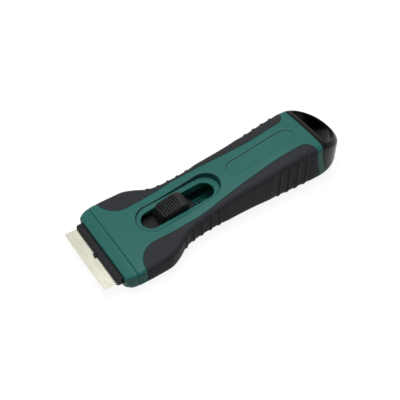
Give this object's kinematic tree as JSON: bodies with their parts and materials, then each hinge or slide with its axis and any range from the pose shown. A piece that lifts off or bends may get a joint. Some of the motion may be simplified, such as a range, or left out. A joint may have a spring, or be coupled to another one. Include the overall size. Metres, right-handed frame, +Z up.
{
  "type": "ceramic hob scraper",
  "caption": "Handheld hob scraper: two-shell handle with soft side grips, a sliding blade carrier with a press-to-slide thumb button, and a hanging loop.",
  "frame": {"origin": "centre of the footprint's bounding box, on the surface that the scraper lies on", "axes": "+X from the blade towards the hanging end, +Z up through the thumb button, +Y to the left hand side seen from the hanging end"},
  "size_m": [0.1476, 0.0494, 0.0258],
  "materials": {
    "green_plastic": "fine satin moulded ABS",
    "soft_grip": "matte thermoplastic elastomer",
    "gloss_black": "glossy moulded ABS",
    "black_plastic": "satin moulded nylon",
    "button_plastic": "satin moulded nylon",
    "blade_steel": "ground and polished steel",
    "spring_steel": "drawn spring steel",
    "screw_steel": "zinc-plated steel"
  },
  "bodies": {
    "handle": {"top_shell": "green_plastic", "bottom_shell": "green_plastic", "nose_collar": "green_plastic", "left_grip": "soft_grip", "right_grip": "soft_grip", "end_cap": "gloss_black", "front_left_screw": "screw_steel", "front_right_screw": "screw_steel", "middle_screw": "screw_steel", "rear_screw": "screw_steel"},
    "slide": {"blade_carrier": "black_plastic", "blade_jaw": "black_plastic", "jaw_pin": "spring_steel", "scraper_blade": "blade_steel", "button_spring": "spring_steel", "detent_spring": "spring_steel"},
    "button": {"thumb_button": "button_plastic"}
  },
  "joints": [
    {"name": "blade_slide", "type": "slide", "parent": "handle", "child": "slide", "axis": [1, 0, 0], "range_m": [-0.0055, 0.0136], "deforming": ["detent_spring"]},
    {"name": "button_press", "type": "slide", "parent": "slide", "child": "button", "axis": [0, 0, -1], "range_m": [0, 0.001], "stiffness_N_per_m": 600, "springref_m": -0.001, "deforming": ["button_spring"]}
  ]
}
